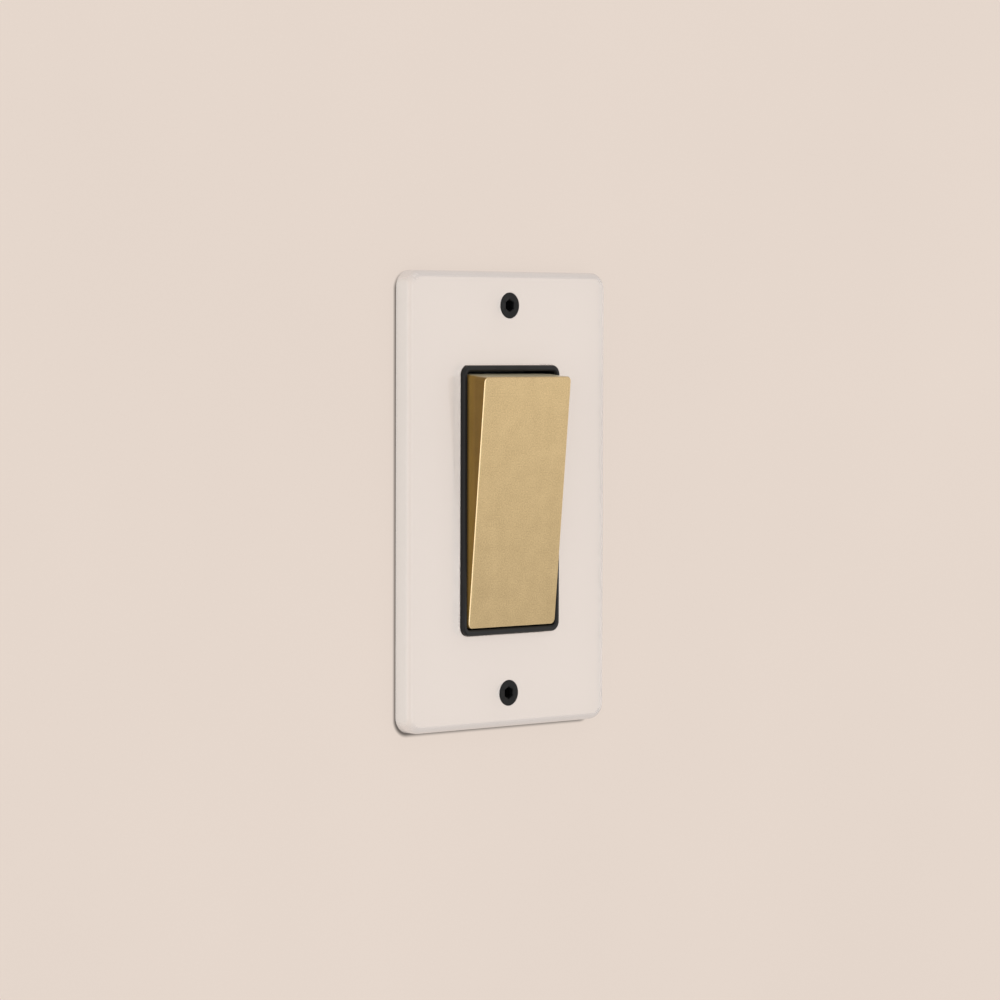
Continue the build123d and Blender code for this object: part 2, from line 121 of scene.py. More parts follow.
class SwitchSizes(bpy.types.PropertyGroup):
    """Sizes of the fasteners and the spring."""

    plate_corner: length("Plate corner", "Radius of the corners of the plate's outline", 0.0042)
    head_d: length("Plate screw head", "Diameter of the flush socket heads", 0.0066)
    shank_d: length("Plate screw shank", "Diameter over the thread", 0.0035)
    shank_length: length("Plate screw length", "From the face of the head to the tip", 0.014)
    plate_thread: length("Plate screw thread", "Length of the thread on the plate screws", 0.0098)
    hex_across: length("Socket", "Width of the hexagon socket across its flats", 0.0028)
    hex_depth: length("Socket depth", "Depth of the hexagon socket", 0.0014)
    thread_pitch: length("Thread pitch", "Rise of the thread in one turn", 0.0008)
    thread_depth: length("Thread depth", "Height of the thread's ridge", 0.00028)
    binding_head_d: length("Binding screw head", "Diameter of the terminal and earth screw heads", 0.0072)
    binding_head_t: length("Binding screw head height", "Height of those heads", 0.0022)
    binding_d: length("Binding screw shank", "Diameter over the thread", 0.0034)
    binding_length: length("Binding screw length", "Length under the head", 0.008)
    joint_head_d: length("Long screw head", "Diameter of the heads in the rear cover", 0.0038)
    joint_head_t: length("Long screw head height", "Height of those heads", 0.0014)
    joint_d: length("Long screw shank", "Diameter of the long screws", 0.0022)
    joint_thread: length("Long screw thread", "Length of the thread on the long screws", 0.005)
    slot_w: length("Slot", "Width of the driver slots", 0.0007)
    slot_depth: length("Slot depth", "Depth of the driver slots", 0.0007)
    spring_wire: length("Spring wire", "Radius of the return spring's wire", 0.0003)
    spring_radius: length("Spring radius", "Mean radius of the return spring", 0.00275)
    spring_turns: IntProperty(
        name="Open turns", description="Open turns of the return spring", default=5, min=2, max=12,
    )
    edge: length("Eased edge", "Rounding of moulded and stamped edges", 0.00018)


class SwitchColours(bpy.types.PropertyGroup):
    """Colours of the finishes."""

    plate_face: finish_colour("Plate face", "Warm tint of the clear plate's face", (0.978, 0.94, 0.915))
    # Sides: a cool tint on the plate's sides, painted cool light
    plate_side_painted_cool: finish_colour("Plate sides", "Cool tint of the clear plate's sides", (0.966, 0.99, 1.0))
    # Ends: a grey tint on the plate's upper and lower edges, painted shade
    plate_end_painted_shade: finish_colour("Plate ends", "Duller tint of its upper and lower edge", (0.772, 0.765, 0.778))
    brass_light: finish_colour("Brass", "Worn satin brass of the rocker", (0.612, 0.465, 0.254))
    brass_dark: finish_colour("Brass, toned", "Darker clouds in the brass", (0.438, 0.332, 0.176))
    patina: finish_colour("Patina", "Darkened brass on the rocker's sides", (0.286, 0.166, 0.0425))
    # Rubbed brass: a bright colour on the rocker's rubbed edges, a painted highlight along them
    rubbed: finish_colour("Rubbed brass", "Bright brass on the rocker's rubbed edges", (0.94, 0.745, 0.44))
    dull: finish_colour("Dulled brass", "Pale dulled brass on the rocker's ends", (0.8, 0.7, 0.47))
    bezel: finish_colour("Bezel", "Fine matt black of the bezel", (0.0115, 0.0115, 0.012))
    screw_black: finish_colour("Black steel", "Blackened socket screws", (0.01, 0.0103, 0.0105))
    # Socket: a darker finish in the screw sockets, painted shade in the recess
    socket: finish_colour("Socket", "Oxide black in the screws' sockets", (0.003, 0.003, 0.003))
    housing: finish_colour("Housing", "Moulded grey of the housing", (0.075, 0.077, 0.082))
    cover: finish_colour("Cover", "Moulded black of the rear cover and the carrier", (0.03, 0.03, 0.032))
    zinc: finish_colour("Zinc", "Plated steel of the strap", (0.6, 0.61, 0.63))
    steel: finish_colour("Steel", "Bright steel of the pin, spring and clip", (0.66, 0.66, 0.67))
    terminal: finish_colour("Terminal brass", "Bright brass of the terminals", (0.72, 0.55, 0.25))
    copper: finish_colour("Copper", "Rolled copper of the contact bridge", (0.66, 0.34, 0.2))
    silver: finish_colour("Silver", "Contact tips", (0.84, 0.84, 0.83))
    nylon: finish_colour("Nylon", "Natural nylon of the plunger", (0.78, 0.75, 0.67))
    rubber: finish_colour("Rubber", "Stop pads", (0.028, 0.028, 0.028))
    earth: finish_colour("Earth green", "Lacquered earth screw", (0.045, 0.26, 0.08))


class StageSettings(bpy.types.PropertyGroup):
    """Wall, lamps and camera."""

    wall: finish_colour("Wall", "Plain pale paint on the wall", (0.827, 0.713, 0.633))
    even: share("Even share", "Share of the wall's seen colour that keeps free of shadow", 0.82)
    shade: share("Foot shade", "Depth of the thin shade at the foot of the plate", 0.8)
    shade_width: length("Foot shade width", "Width of that shade", 0.0012)
    shade_shift: FloatVectorProperty(
        name="Foot shade shift", description="How far that shade lies left of and below the plate",
        default=(0.00045, 0.0, 0.0006), size=3, unit="LENGTH", precision=5,
    )
    surround: finish_colour("Surround", "Pale ground beyond the wall", (0.78, 0.73, 0.69))
    sky_tint: finish_colour("Room tint", "Tint of the even light of the room", (0.95, 0.98, 1.0))
    sky: share("Room light", "Strength of the even light of the room", 0.5)
    panel: brightness("Side panel", "Brightness of the soft panel on the right", 0.5)
    strip: brightness("Front strip", "Brightness of the tall strip in front", 1.5)
    left: brightness("Left fill", "Brightness of the soft lamp on the left", 1.15)
    key: brightness("Key", "Brightness of the soft lamp above on the right", 2.0)
    rear: brightness("Rear fill", "Brightness of the soft lamp behind the wall", 2.0)
    lens: FloatProperty(
        name="Lens", description="Focal length in millimetres", default=146.88, min=10.0, unit="CAMERA",
    )
    stand_off: length("Distance", "From the lens to the middle of the plate", 1.0227)
    turn: angle("Turn", "Angle of the view to the wall", 43.966)
    stoop: angle("Stoop", "Angle at which the view looks down", 2.227)
    roll: angle("Roll", "Turn of the view about its axis", 0.1476)
    aside: length("Aside", "How far right of the middle of the plate the view is aimed", 0.000942)
    below: length("Below", "How far below the middle of the plate the view is aimed", 0.000265)


class SwitchSettings(bpy.types.PropertyGroup):
    """Everything that can be changed on the switch."""

    sizes: PointerProperty(type=SwitchSizes)
    colours: PointerProperty(type=SwitchColours)
    stage: PointerProperty(type=StageSettings)


def feed(tree, node, values):
    """Fill inputs of a node: an output, or a node for its first output, is linked, the rest is set."""
    for key, value in values.items():
        if isinstance(value, bpy.types.Node):
            value = value.outputs[0]
        if isinstance(value, bpy.types.NodeSocket):
            tree.links.new(value, node.inputs[key])
        else:
            node.inputs[key].default_value = value
    return node


def put(tree, kind, values=None, **settings):
    """Add a node, make its settings and fill its inputs."""
    made = tree.nodes.new(kind)
    for key, value in settings.items():
        setattr(made, key, value)
    return feed(tree, made, values or {})


def calc(tree, operation, *values):
    """Work out one or two values."""
    return put(tree, "ShaderNodeMath", dict(enumerate(values)), operation=operation)


def vector_calc(tree, operation, *values):
    """Work out one or two vectors: a length comes out as a value, the rest as a vector."""
    made = put(tree, "ShaderNodeVectorMath", dict(enumerate(values)), operation=operation)
    return made.outputs["Value" if operation == "LENGTH" else "Vector"]


def ramp(tree, value, start_end, low_high=(0.0, 1.0), **settings):
    """Go from low to high while a value goes from start to end."""
    return put(tree, "ShaderNodeMapRange", {
        "Value": value,
        "From Min": start_end[0],
        "From Max": start_end[1],
        "To Min": low_high[0],
        "To Max": low_high[1],
    }, **settings)


def mix_values(tree, part, first, second):
    """Mix two values."""
    return put(tree, "ShaderNodeMix", {0: part, 2: first, 3: second}, data_type="FLOAT")


def mix_colours(tree, part, first, second, blend_type="MIX"):
    """Mix two colours."""
    made = put(tree, "ShaderNodeMix", {0: part, 6: first, 7: second}, data_type="RGBA", blend_type=blend_type)
    return made.outputs[2]


def mix_shaders(tree, part, first, second):
    """Mix two shaders."""
    return put(tree, "ShaderNodeMixShader", {0: part, 1: first, 2: second})


def split(tree, vector):
    """The X, Y and Z of a vector."""
    return put(tree, "ShaderNodeSeparateXYZ", {"Vector": vector}).outputs


def noise(tree, vector, scale, detail, rough, distortion=0.0):
    """The value of a noise."""
    return put(tree, "ShaderNodeTexNoise", {
        "Vector": vector,
        "Scale": scale,
        "Detail": detail,
        "Roughness": rough,
        "Distortion": distortion,
    }).outputs["Fac"]


def bump(tree, height, distance, strength=0.6):
    """A normal from a height that lifts the surface by a distance in metres."""
    return put(tree, "ShaderNodeBump", {"Height": height, "Distance": distance, "Strength": strength})


def new_tree(kind, name, inputs, output):
    """A new node tree with its sockets: returns the tree, what it is given and its output node."""
    tree = bpy.data.node_groups.new(name, kind)
    for label, sort, *value in inputs:
        socket = tree.interface.new_socket(label, in_out="INPUT", socket_type="NodeSocket" + sort)
        if value:
            socket.default_value = value[0]
    label, sort = output
    tree.interface.new_socket(label, in_out="OUTPUT", socket_type="NodeSocket" + sort)
    return tree, tree.nodes.new("NodeGroupInput").outputs, tree.nodes.new("NodeGroupOutput")


def fine_grain():
    """Group for the fine grain of a finish: a height that changes from spot to spot."""
    tree, given, out = new_tree("ShaderNodeTree", "fine_grain", [
        ("Vector", "Vector"),
        ("Scale", "Float", 4000.0),
        ("Sparkle", "Float", 0.5),
    ], ("Height", "Float"))
    fine = noise(tree, given["Vector"], given["Scale"], 3.0, 0.6)
    pits = put(tree, "ShaderNodeTexVoronoi", {"Vector": given["Vector"], "Scale": given["Scale"]}, feature="F1")
    feed(tree, out, {"Height": mix_values(tree, given["Sparkle"], fine, pits.outputs["Distance"])})
    return tree


def tone():
    """Group for one colour: clouds and specks between a light and a dark tone."""
    tree, given, out = new_tree("ShaderNodeTree", "tone", [
        ("Vector", "Vector"),
        ("Cloud Scale", "Float", 80.0),
        ("Speck Scale", "Float", 3000.0),
        ("Speck Share", "Float", 0.4),
        ("Light", "Color", (0.8, 0.8, 0.8, 1.0)),
        ("Dark", "Color", (0.6, 0.6, 0.6, 1.0)),
    ], ("Colour", "Color"))
    cloud = noise(tree, given["Vector"], given["Cloud Scale"], 3.0, 0.55)
    speck = noise(tree, given["Vector"], given["Speck Scale"], 1.0, 0.5)
    spread = ramp(tree, mix_values(tree, given["Speck Share"], cloud, speck), (0.32, 0.68))
    feed(tree, out, {"Colour": mix_colours(tree, spread, given["Dark"], given["Light"])})
    return tree


def handling():
    """Group for a roughness that wanders where hands and tools have rubbed."""
    tree, given, out = new_tree("ShaderNodeTree", "handling", [
        ("Vector", "Vector"),
        ("Scale", "Float", 60.0),
        ("Smooth", "Float", 0.3),
        ("Rough", "Float", 0.5),
    ], ("Roughness", "Float"))
    rubbed = noise(tree, given["Vector"], given["Scale"], 4.0, 0.6, 0.4)
    feed(tree, out, {"Roughness": ramp(tree, rubbed, (0.3, 0.7), (given["Smooth"], given["Rough"]))})
    return tree


def outline():
    """Group for the distance from a rectangle with round corners, less than nothing inside it."""
    tree, given, out = new_tree("ShaderNodeTree", "outline", [
        ("Vector", "Vector"),
        ("Half Size", "Vector"),
        ("Corner", "Float", 0.004),
    ], ("Distance", "Float"))
    past = vector_calc(tree, "SUBTRACT", vector_calc(tree, "ABSOLUTE", given["Vector"]), given["Half Size"])
    reach = vector_calc(tree, "LENGTH", vector_calc(tree, "MAXIMUM", past, (0.0, 0.0, 0.0)))
    feed(tree, out, {"Distance": calc(tree, "SUBTRACT", reach, given["Corner"])})
    return tree


def place_group(tree, build, vector, values):
    """Place a shared group, built at its first use, in a material with its own values."""
    group = bpy.data.node_groups.get(build.__name__) or build()
    return put(tree, "ShaderNodeGroup", {"Vector": vector, **values}, node_tree=group)


def rgba(colour, part=1.0):
    """A colour with its alpha, scaled by a part."""
    return (colour[0] * part, colour[1] * part, colour[2] * part, 1.0)


def new_finish(name):
    """A new material: returns it, its tree, its shader and its object coordinates."""
    made = bpy.data.materials.new(name)
    finishes[name] = made
    made.use_nodes = True
    tree = made.node_tree
    where = put(tree, "ShaderNodeTexCoord").outputs["Object"]
    return made, tree, tree.nodes["Principled BSDF"], where


def plain_finish(
    name, colour, rough, grain, metallic=0.0, darker=0.82, stretch=(1.0, 1.0, 1.0), cloud=90.0, sockets=None,
):
    """A metal or a moulding: clouded colour, wandering roughness and a fine grain.

    rough is (smooth, rough), grain is (scale, depth in metres, sparkle).
    """
    made, tree, shader, where = new_finish(name)
    where = put(tree, "ShaderNodeMapping", {"Vector": where, "Scale": stretch})
    scale, depth, sparkle = grain
    grains = place_group(tree, fine_grain, where, {"Scale": scale, "Sparkle": sparkle})
    feed(tree, shader, {
        "Base Color": place_group(tree, tone, where, {
            "Cloud Scale": cloud,
            "Speck Scale": scale,
            "Light": rgba(colour),
            "Dark": rgba(colour, darker),
        }),
        "Roughness": place_group(tree, handling, where, {
            "Scale": cloud * 1.7,
            "Smooth": rough[0],
            "Rough": rough[1],
        }),
        "Normal": bump(tree, grains, depth),
        "Metallic": metallic,
        **(sockets or {}),
    })
    return made


def clear_acrylic(colours):
    """Polished clear plate with satin edges: a warm face, sides tinted cool as painted cool light, and upper
    and lower edges tinted grey as painted shade that holds back some light.
    """
    made, tree, shader, where = new_finish("clear_acrylic")
    normal = put(tree, "ShaderNodeNewGeometry").outputs["Normal"]
    parts = split(tree, normal)
    flat = calc(tree, "ABSOLUTE", parts["Y"])
    aside = calc(tree, "ABSOLUTE", parts["X"])
    steep = calc(tree, "ABSOLUTE", parts["Z"])
    # How far the surface leans to an end rather than to a side, with nothing on the flat face
    lean = vector_calc(tree, "LENGTH", vector_calc(tree, "MULTIPLY", normal, (1.0, 0.0, 1.0)))
    climb = calc(tree, "DIVIDE", steep, calc(tree, "ADD", lean, 0.012))
    # The sides' cool tint is painted cool light
    sides = mix_colours(
        tree, ramp(tree, aside, (0.8, 0.98)), rgba(colours.plate_face), rgba(colours.plate_side_painted_cool),
    )
    rubbed = place_group(tree, handling, where, {"Scale": 45.0, "Smooth": 0.06, "Rough": 0.09})
    satin = ramp(tree, flat, (0.8, 0.99), (0.12, 0.0))
    feed(tree, shader, {
        # Painted shade: the upper and lower edges are tinted grey
        "Base Color": mix_colours(tree, ramp(tree, climb, (0.3, 0.92)), sides, rgba(colours.plate_end_painted_shade)),
        "Roughness": calc(tree, "MAXIMUM", rubbed, satin),
        "IOR": 1.49,
        "Transmission Weight": 0.72,
    })
    # Lamps shine through the plate, and its edges hold back half of their light
    through = put(tree, "ShaderNodeBsdfTransparent", {"Color": ramp(tree, flat, (0.3, 0.98), (0.5, 1.0))})
    rays = put(tree, "ShaderNodeLightPath").outputs
    lit = calc(tree, "MAXIMUM", rays["Is Shadow Ray"], rays["Is Diffuse Ray"])
    feed(tree, tree.nodes["Material Output"], {"Surface": mix_shaders(tree, lit, shader, through)})
    return made


def satin_brass(colours):
    """Rocker brass: clouded satin front with painted shade toward the bottom and a painted highlight along its
    rubbed edges, dulled sides lightened by painted light near the bezel, dulled ends that keep painted shade at
    their corners, speckled grain.
    """
    made, tree, shader, where = new_finish("satin_brass")
    # Laid upright, the rocker's front is the plane of Y = 0, and Y grows behind it
    local = put(tree, "ShaderNodeMapping", {
        "Vector": where,
        "Rotation": (-ROCKER_TILT, 0.0, 0.0),
        "Location": (0.0, ROCKER_FACE, 0.0),
    })
    parts = split(tree, local)
    behind = parts["Y"]
    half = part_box("rocker_cap")[1].x
    # Masks by depth behind the front: edge is the rounded front edge, which takes the painted highlight
    edge = ramp(tree, behind, (0.000003, 0.00003))
    side = ramp(tree, behind, (0.00016, 0.00024))
    polish = ramp(tree, behind, (0.00002, 0.00025), (1.0, 0.5))
    # Painted shade: the front is darkened toward the bottom, down to 0.83 of its colour at the lower end
    painted_lower_shade = ramp(tree, parts["Z"], (-0.031, 0.031), (0.83, 1.0))
    ends = ramp(tree, calc(tree, "ABSOLUTE", parts["Z"]), (0.03085, 0.03125))
    # Painted shade: near the sides, the ends keep the sides' dark brown on their rounded corners
    clear_of_painted_corner_shade = ramp(tree, calc(tree, "ABSOLUTE", parts["X"]), (half - 0.0015, half - 0.0004), (1.0, 0.0))
    # Painted light: the sides are lightened toward the bezel, up to 1.9 times, to offset the bezel's shade on
    # them
    foot = ramp(tree, split(tree, where)["Y"], (-0.0082, -0.0056), (1.0, 1.9))
    tones = place_group(tree, tone, local, {
        "Cloud Scale": 210.0,
        "Speck Scale": 3000.0,
        "Speck Share": 0.76,
        "Light": rgba(colours.brass_light),
        "Dark": rgba(colours.brass_dark),
    })
    flanks = place_group(tree, tone, local, {
        "Cloud Scale": 160.0,
        "Speck Scale": 3000.0,
        "Speck Share": 0.4,
        "Light": rgba(colours.patina),
        "Dark": rgba(colours.patina, 0.82),
    })
    # Painted highlight: the rubbed colour makes a bright line along the front's edges, left out at the upper
    # and lower ends
    rim = calc(tree, "MULTIPLY", edge, calc(tree, "SUBTRACT", 1.0, ends))
    front = mix_colours(tree, 1.0, tones, painted_lower_shade, "MULTIPLY")
    front = mix_colours(tree, rim, front, rgba(colours.rubbed))
    # The sides, lightened by the painted light near the bezel
    flank_with_painted_light = mix_colours(tree, 1.0, flanks, foot, "MULTIPLY")
    # Painted shade: the ends turn pale except at their corners next to the sides
    flank_with_painted_light = mix_colours(tree, calc(tree, "MULTIPLY", clear_of_painted_corner_shade, ends), flank_with_painted_light, rgba(colours.dull))
    rubbed = place_group(tree, handling, local, {"Scale": 140.0, "Smooth": 0.34, "Rough": 0.42})
    grains = place_group(tree, fine_grain, local, {"Scale": 4200.0, "Sparkle": 0.35})
    feed(tree, shader, {
        "Base Color": mix_colours(tree, side, front, flank_with_painted_light),
        "Metallic": ramp(tree, side, (0.0, 1.0), (1.0, 0.08)),
        "Roughness": calc(tree, "MULTIPLY", rubbed, polish),
        "Specular IOR Level": 0.1,
        "Normal": bump(tree, grains, 0.000012),
    })
    return made


def seen_rays(tree):
    """One for what the camera sees, straight, mirrored or through the plate, and nothing for the rest."""
    rays = put(tree, "ShaderNodeLightPath").outputs
    seen = calc(tree, "MAXIMUM", rays["Is Camera Ray"], rays["Is Glossy Ray"])
    return calc(tree, "MAXIMUM", seen, rays["Is Transmission Ray"])


def plain_wall(stage, corner):
    """Plain pale wall, seen from the front only, with a thin line of shade at the foot of the plate."""
    made, tree, shader, where = new_finish("plain_wall")
    tones = place_group(tree, tone, where, {
        "Cloud Scale": 9.0,
        "Speck Scale": 1500.0,
        "Speck Share": 0.3,
        "Light": rgba(stage.wall),
        "Dark": rgba(stage.wall, 0.975),
    })
    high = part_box("face_plate")[1]
    plate = {"Half Size": (high.x - corner, 1.0, high.z - corner), "Corner": corner}
    beyond = place_group(tree, outline, where, plate)
    under = place_group(tree, outline, vector_calc(tree, "ADD", where, stage.shade_shift), plate)
    start = -stage.shade_shift[0]
    fade = ramp(
        tree, under, (start, start + stage.shade_width), (stage.shade, 0.0), interpolation_type="SMOOTHSTEP",
    )
    depth = calc(tree, "MULTIPLY", calc(tree, "GREATER_THAN", beyond, 0.0), fade)
    colour = mix_colours(tree, 1.0, tones, calc(tree, "SUBTRACT", 1.0, depth), "MULTIPLY")
    grains = place_group(tree, fine_grain, where, {"Scale": 1300.0, "Sparkle": 0.2})
    feed(tree, shader, {
        "Base Color": colour,
        "Roughness": 0.85,
        "Specular IOR Level": 0.2,
        "Normal": bump(tree, grains, 0.00003, 0.35),
    })
    glow = put(tree, "ShaderNodeEmission", {"Color": colour, "Strength": 1.0})
    even = mix_shaders(tree, calc(tree, "MULTIPLY", seen_rays(tree), stage.even), shader, glow)
    back = put(tree, "ShaderNodeNewGeometry").outputs["Backfacing"]
    through = put(tree, "ShaderNodeBsdfTransparent")
    feed(tree, tree.nodes["Material Output"], {"Surface": mix_shaders(tree, back, even, through)})
    return made


def set_finish(finish, *nodes):
    """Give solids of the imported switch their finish."""
    for node in nodes:
        for slot in solids[node].material_slots:
            slot.material = finish


def link_piece(name, mesh):
    """A new object at the origin with its place in its mesh."""
    piece = bpy.data.objects.new(name, mesh)
    bpy.context.scene.collection.objects.link(piece)
    return piece


def worked_mesh(piece):
    """The mesh of an object with its modifiers worked in."""
    bpy.context.view_layer.update()
    return bpy.data.meshes.new_from_object(piece.evaluated_get(bpy.context.evaluated_depsgraph_get()))


def stand_in(piece, node):
    """Let a finished piece stand for a solid and ride on its body."""
    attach(piece, solids[node]["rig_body"])
    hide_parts(node)
    return piece


def eased(node, slot, width):
    """A copy of a solid with its sharp edges rounded as moulding and stamping leave them."""
    mesh = solids[node].data.copy()
    shape = bmesh.new()
    shape.from_mesh(mesh)
    bmesh.ops.remove_doubles(shape, verts=shape.verts, dist=MERGE)
    bmesh.ops.dissolve_limit(shape, angle_limit=FLAT, verts=shape.verts, edges=shape.edges)
    shape.to_mesh(mesh)
    shape.free()
    if mesh.attributes.get("custom_normal"):
        mesh.attributes.remove(mesh.attributes["custom_normal"])
    mesh.shade_smooth()
    piece = link_piece(node + "_eased", mesh)
    bevel = piece.modifiers.new("eased edges", "BEVEL")
    bevel.width = width
    bevel.segments = 3
    bevel.limit_method = "ANGLE"
    bevel.angle_limit = radians(28)
    bevel.use_clamp_overlap = True
    bevel.harden_normals = True
    made = worked_mesh(piece)
    piece.modifiers.remove(bevel)
    piece.data = made
    bpy.data.meshes.remove(mesh)
    made.name = node + "_eased"
    made.materials.clear()
    made.materials.append(finishes[slot])
    return stand_in(piece, node)


def ring(shape, radius, height, steps, flats):
    """A ring of points at a height: round, or with flats of that radius."""
    points = []
    for step in range(steps):
        turned = tau * step / steps
        reach = radius
        if flats:
            sector = tau / flats
            reach = radius / cos((turned % sector) - sector / 2)
        points.append(shape.verts.new((reach * sin(turned), reach * cos(turned), height)))
    return points


def lathe(name, profile, steps=48):
    """A closed turned mesh about +Z: (radius, height, flats) from the bottom pole to the top pole."""
    shape = bmesh.new()
    low = shape.verts.new((0.0, 0.0, profile[0][1]))
    rings = [ring(shape, radius, height, steps, flats) for radius, height, flats in profile[1:-1]]
    high = shape.verts.new((0.0, 0.0, profile[-1][1]))
    for step in range(steps):
        after = (step + 1) % steps
        shape.faces.new((low, rings[0][step], rings[0][after]))
        for lower, upper in zip(rings, rings[1:]):
            shape.faces.new((lower[step], upper[step], upper[after], lower[after]))
        shape.faces.new((high, rings[-1][after], rings[-1][step]))
    bmesh.ops.recalc_face_normals(shape, faces=shape.faces)
    mesh = bpy.data.meshes.new(name)
    shape.to_mesh(mesh)
    shape.free()
    mesh.shade_smooth()
    mesh.set_sharp_from_angle(angle=SHARP)
    return mesh


def socket_screw_mesh(sizes):
    """Flush countersunk socket screw: face of the head at zero, shank along -Z."""
    head = sizes.head_d / 2
    crest = sizes.shank_d / 2
    root = crest - sizes.thread_depth
    flat = sizes.hex_across / 2
    rim, tip, neck = 0.00022, 0.0006, 0.0012
    # The socket: width of its round mouth, depth of the mouth, depth of the drill point in its floor
    mouth, lip, point = flat * 1.22, 0.00014, 0.0009
    return lathe("socket_screw", [
        (0.0, -sizes.shank_length, 0),
        (root - tip, -sizes.shank_length, 0),
        (root, tip - sizes.shank_length, 0),
        (root, crest - head - neck, 0),
        (crest, crest - head, 0),
        (head, -rim * 1.1, 0),
        (head - rim * 0.3, -rim * 0.45, 0),
        (head - rim, 0.0, 0),
        (mouth, 0.0, 0),
        (flat, -lip, 6),
        (flat, -sizes.hex_depth, 6),
        (0.0, -sizes.hex_depth - point, 0),
    ])


def slotted_screw_mesh(name, sizes, head_d, head_t, shank_d, shank_length):
    """Cheese-head screw with a driver slot: underside of the head at zero, shank along -Z."""
    head = head_d / 2
    root = shank_d / 2 - sizes.thread_depth
    rim = head_t * 0.16
    tip = root * 0.4
    mesh = lathe(name, [
        (0.0, -shank_length, 0),
        (root - tip, -shank_length, 0),
        (root, tip - shank_length, 0),
        (root, 0.0, 0),
        (head - rim * 0.5, 0.0, 0),
        (head, rim * 0.5, 0),
        (head, head_t - rim, 0),
        (head - rim * 0.3, head_t - rim * 0.3, 0),
        (head - rim, head_t, 0),
        (0.0, head_t, 0),
    ])
    blank = link_piece(name, mesh)
    cutter_size = Vector((head_d * 1.2, sizes.slot_w, sizes.slot_depth * 2))
    shape = bmesh.new()
    bmesh.ops.create_cube(
        shape, size=1.0, matrix=Matrix.LocRotScale(Vector((0.0, 0.0, head_t)), None, cutter_size),
    )
    cutter_mesh = bpy.data.meshes.new(name + "_cutter")
    shape.to_mesh(cutter_mesh)
    shape.free()
    cutter = link_piece(name + "_cutter", cutter_mesh)
    cut = blank.modifiers.new("slot", "BOOLEAN")
    cut.operation = "DIFFERENCE"
    cut.solver = "EXACT"
    cut.object = cutter
    made = worked_mesh(blank)
    bpy.data.objects.remove(blank)
    bpy.data.objects.remove(cutter)
    bpy.data.meshes.remove(mesh)
    bpy.data.meshes.remove(cutter_mesh)
    made.name = name
    made.shade_smooth()
    made.set_sharp_from_angle(angle=SHARP)
    return made


def spiral(tree, resolution, turns, radius, height):
    """A spiral of one radius."""
    return put(tree, "GeometryNodeCurveSpiral", {
        "Resolution": resolution,
        "Rotations": turns,
        "Start Radius": radius,
        "End Radius": radius,
        "Height": height,
    })


def sweep(tree, path, resolution, radius):
    """A round or cornered bar along a path, closed at its ends."""
    section = put(tree, "GeometryNodeCurvePrimitiveCircle", {"Resolution": resolution, "Radius": radius})
    return put(tree, "GeometryNodeCurveToMesh", {"Curve": path, "Profile Curve": section, "Fill Caps": True})


def upward(tree, value):
    """A vector along +Z."""
    return put(tree, "ShaderNodeCombineXYZ", {"Z": value})


def coat(tree, pieces, finish):
    """Make instances real and give them their finish."""
    real = put(tree, "GeometryNodeRealizeInstances", {"Geometry": pieces})
    return put(tree, "GeometryNodeSetMaterial", {"Geometry": real, "Material": finish})


def screw_row_tree():
    """Geometry Nodes: wind a thread round a plain screw and set such screws out in a row."""
    tree, given, out = new_tree("GeometryNodeTree", "screw_row", [
        ("Screw", "Geometry"),
        ("Count", "Int", 2),
        ("Start", "Vector"),
        ("Step", "Vector"),
        ("Lay", "Rotation"),
        ("Turn Each", "Float", 0.0),
        ("Thread Radius", "Float", 0.0015),
        ("Thread Depth", "Float", 0.0003),
        ("Thread Turns", "Float", 10.0),
        ("Thread Length", "Float", 0.008),
        ("Thread Foot", "Float", -0.01),
        ("Material", "Material"),
    ], ("Screws", "Geometry"))
    path = spiral(tree, 24, given["Thread Turns"], given["Thread Radius"], given["Thread Length"])
    thread = put(tree, "GeometryNodeTransform", {
        "Geometry": sweep(tree, path, 4, given["Thread Depth"]),
        "Translation": upward(tree, given["Thread Foot"]),
    })
    both = put(tree, "GeometryNodeJoinGeometry", {"Geometry": thread})
    feed(tree, both, {"Geometry": given["Screw"]})
    laid = put(tree, "GeometryNodeTransform", {"Geometry": both, "Rotation": given["Lay"]})
    line = put(tree, "GeometryNodeMeshLine", {
        "Count": given["Count"],
        "Start Location": given["Start"],
        "Offset": given["Step"],
    }, mode="OFFSET")
    copies = put(tree, "GeometryNodeInstanceOnPoints", {"Points": line, "Instance": laid})
    turned = calc(tree, "MULTIPLY", put(tree, "GeometryNodeInputIndex"), given["Turn Each"])
    row = put(tree, "GeometryNodeRotateInstances", {"Instances": copies, "Rotation": upward(tree, turned)})
    feed(tree, out, {"Screws": coat(tree, row, given["Material"])})
    return tree


